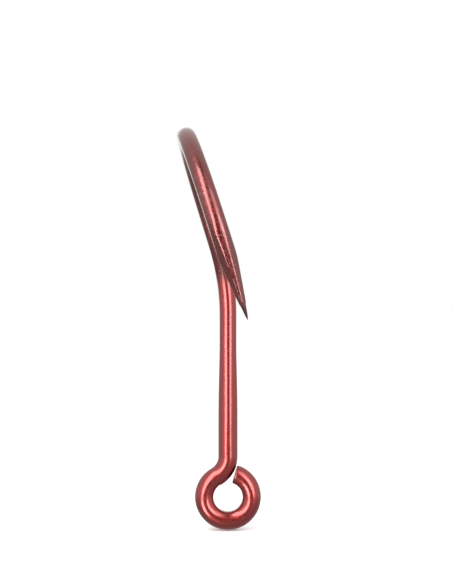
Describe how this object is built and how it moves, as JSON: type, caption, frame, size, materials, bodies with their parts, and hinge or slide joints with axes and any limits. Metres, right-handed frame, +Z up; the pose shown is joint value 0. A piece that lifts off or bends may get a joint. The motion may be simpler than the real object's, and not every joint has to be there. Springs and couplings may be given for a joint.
{
  "type": "fishing hook",
  "caption": "Single forged fishing hook with a round bend, an offset cut point with a barb, a closed eye and a thin red finish.",
  "frame": {"origin": "centre of the eye's hole", "axes": "+Z up the shank towards the bend, -Y towards the point's leg, the bend leans towards -X"},
  "size_m": [0.0043, 0.0105, 0.0201],
  "materials": {
    "steel": "ground high-carbon steel, dark at the bare tip",
    "red_lacquer": "translucent red lacquer over bright plating, glossy"
  },
  "bodies": {
    "root": {"steel_wire": "steel", "red_finish": "red_lacquer"}
  },
  "joints": []
}
